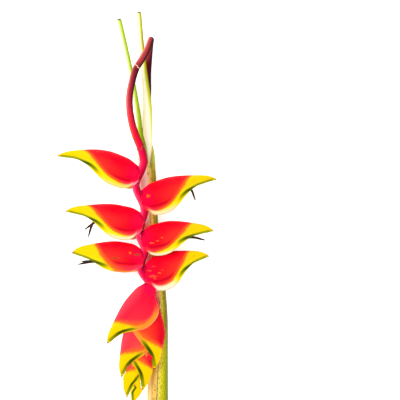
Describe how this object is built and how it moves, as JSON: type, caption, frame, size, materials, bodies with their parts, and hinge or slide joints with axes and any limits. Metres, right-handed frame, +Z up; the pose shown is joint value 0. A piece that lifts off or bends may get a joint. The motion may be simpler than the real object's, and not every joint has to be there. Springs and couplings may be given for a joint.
{
  "type": "heliconia stem",
  "caption": "Cut hanging heliconia lying on its side, its head of folded boat-shaped bracts hooked back over a stem of rolled leaf sheaths.",
  "frame": {"origin": "on the surface, in the middle of the flat under the outer leaf sheath, 238 mm from the cut end", "axes": "+Y along the stem from its cut end to the cut leaf stalks, +X to the right as seen from above, +Z up from the surface it lies on"},
  "size_m": [0.2028, 0.5769, 0.0541],
  "materials": {
    "leaf_outer": "satin green leaf sheath with a dry brown edge",
    "leaf_inner": "satin yellow-green leaf sheath and leaf stalk",
    "flower_stalk": "velvety red to crimson",
    "bract_red": "waxy red with a yellow beak and a green edge",
    "bract_bud": "waxy red to orange with a yellow beak and a green edge",
    "floret": "matte yellow-green, withered brown at the tip"
  },
  "bodies": {
    "root": {"leaf_outer": "leaf_outer", "leaf_inner": "leaf_inner", "flower_stalk": "flower_stalk", "bract_01_left": "bract_red", "bract_02_right": "bract_red", "bract_03_left": "bract_red", "bract_04_right": "bract_red", "bract_05_left": "bract_red", "bract_06_right": "bract_red", "bract_07_bud": "bract_bud", "bract_08_bud": "bract_bud", "bract_09_bud": "bract_bud", "bract_10_bud": "bract_bud", "bract_11_bud": "bract_bud", "bract_12_bud": "bract_bud", "florets_01_left": "floret", "florets_02_right": "floret", "florets_03_left": "floret", "florets_04_right": "floret", "florets_05_left": "floret", "florets_06_right": "floret"}
  },
  "joints": []
}
